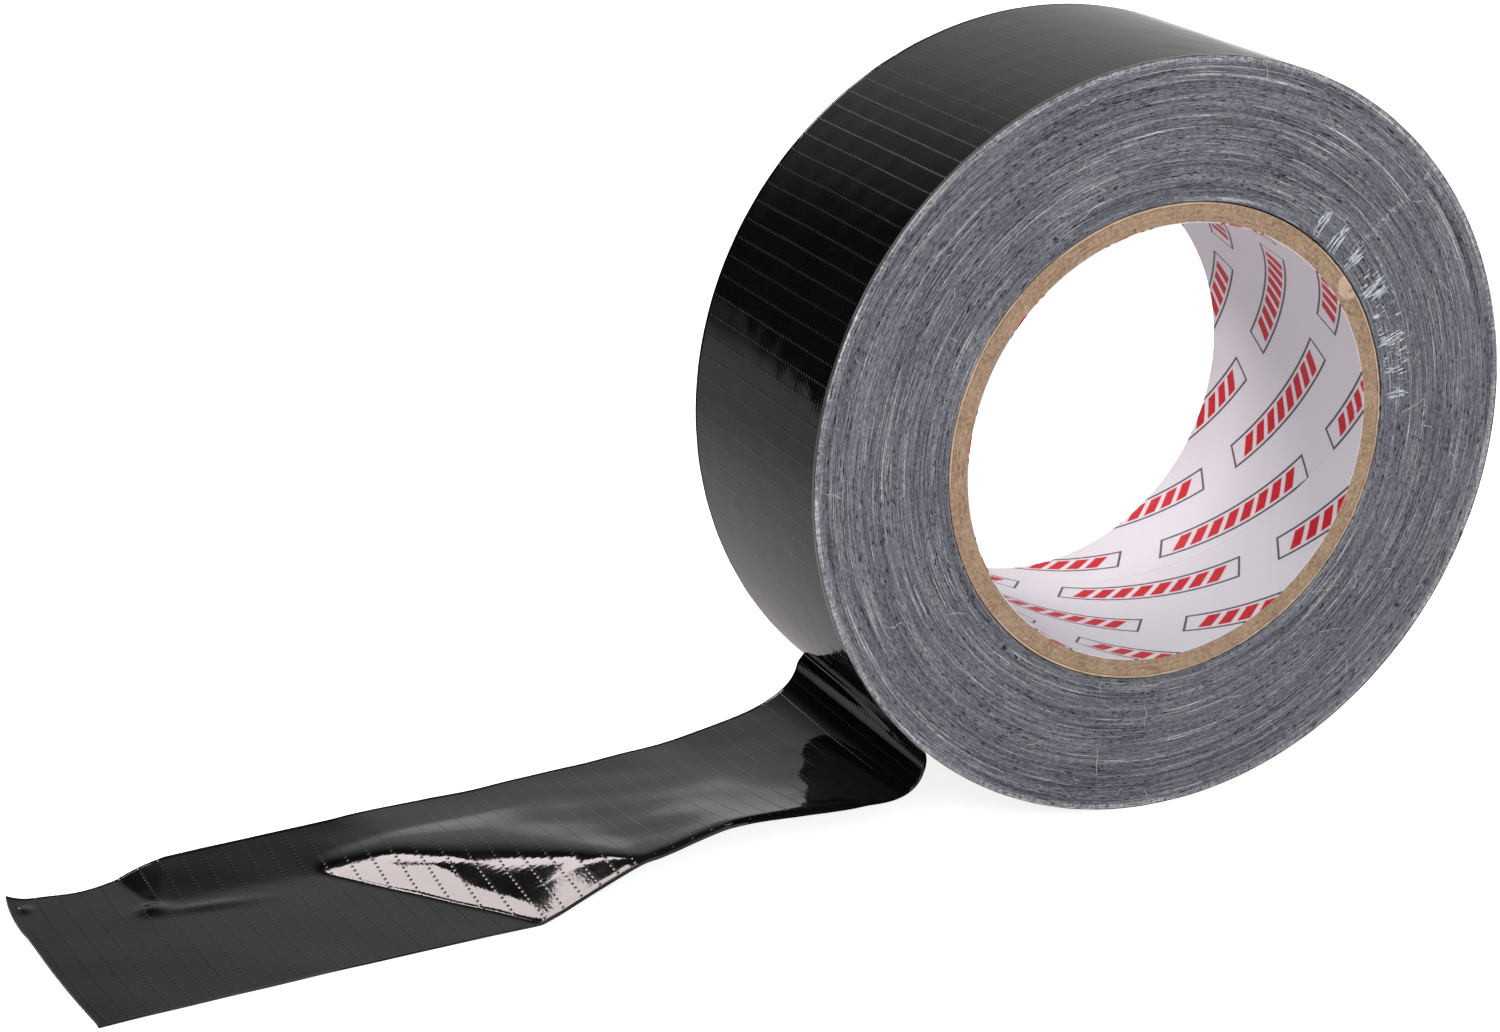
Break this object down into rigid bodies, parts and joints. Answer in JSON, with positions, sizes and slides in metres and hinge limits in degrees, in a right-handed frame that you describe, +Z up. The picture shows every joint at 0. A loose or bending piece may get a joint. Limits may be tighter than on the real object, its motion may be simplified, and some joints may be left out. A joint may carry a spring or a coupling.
{
  "type": "duct tape roll",
  "caption": "Roll of black cloth-backed duct tape on a paperboard core, standing on its rim with the free end of the tape peeled off and lying flat.",
  "frame": {"origin": "on the surface that the roll stands on, straight under the roll's axis, at the middle of its width", "axes": "+Z up, +Y along the roll's axis, and the free end runs towards -X"},
  "size_m": [0.256, 0.0542, 0.1315],
  "materials": {
    "printed_paper": "satin, white with a small red and black pattern",
    "core_board": "fibrous raw kraft board",
    "lap_edges": "cut edges of wound laps, fine rings with whitish threads",
    "backing_film": "glossy, with fine cross ribs from the cloth below",
    "scrim_cloth": "open cotton weave",
    "adhesive": "tacky, slightly glossy grey, with the cloth showing through"
  },
  "bodies": {
    "roll": {"core_liner": "printed_paper", "core_ply_1": "core_board", "core_ply_2": "core_board", "core_ply_3": "core_board", "core_ply_4": "core_board", "wound_laps": "lap_edges", "outer_lap_film": "backing_film", "outer_lap_scrim": "scrim_cloth", "outer_lap_adhesive": "adhesive"},
    "free_end": {"free_end_film": "backing_film", "free_end_scrim": "scrim_cloth", "free_end_adhesive": "adhesive"}
  },
  "joints": [
    {"name": "free_end_lift", "type": "hinge", "parent": "roll", "child": "free_end", "pos_m": [-0.04505, 0, 0.01761], "axis": [0, 1, 0], "range_deg": [0, 60]}
  ]
}
